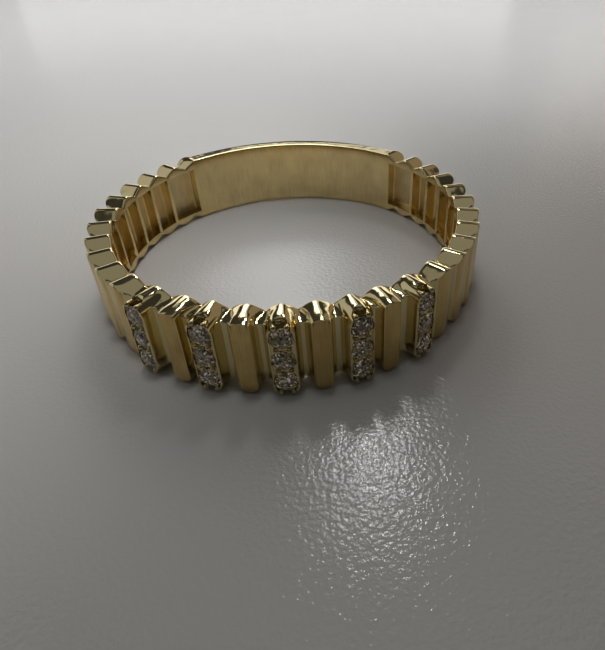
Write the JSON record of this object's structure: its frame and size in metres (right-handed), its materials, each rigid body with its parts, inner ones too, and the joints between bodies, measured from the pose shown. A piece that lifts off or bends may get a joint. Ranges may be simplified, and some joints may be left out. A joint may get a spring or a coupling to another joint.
{
  "type": "diamond band",
  "caption": "Fluted yellow gold finger ring with upright bars, some set with columns of round diamonds, and a plain shank.",
  "frame": {"origin": "on the axis of the finger hole, in the plane of the edge that the ring lies on", "axes": "+Z along the finger hole, up out of the surface that the ring lies on; -Y towards the middle of the diamond front; +Y towards the shank"},
  "size_m": [0.0192, 0.0193, 0.0036],
  "materials": {
    "gold": "14 karat yellow gold, satin bar faces, polished edges",
    "diamond": "polished facets"
  },
  "bodies": {
    "root": {"band": "gold", "diamond_1_top": "diamond", "diamond_1_middle": "diamond", "diamond_1_bottom": "diamond", "diamond_2_top": "diamond", "diamond_2_middle": "diamond", "diamond_2_bottom": "diamond", "diamond_3_top": "diamond", "diamond_3_middle": "diamond", "diamond_3_bottom": "diamond", "diamond_4_top": "diamond", "diamond_4_middle": "diamond", "diamond_4_bottom": "diamond", "diamond_5_top": "diamond", "diamond_5_middle": "diamond", "diamond_5_bottom": "diamond"}
  },
  "joints": []
}
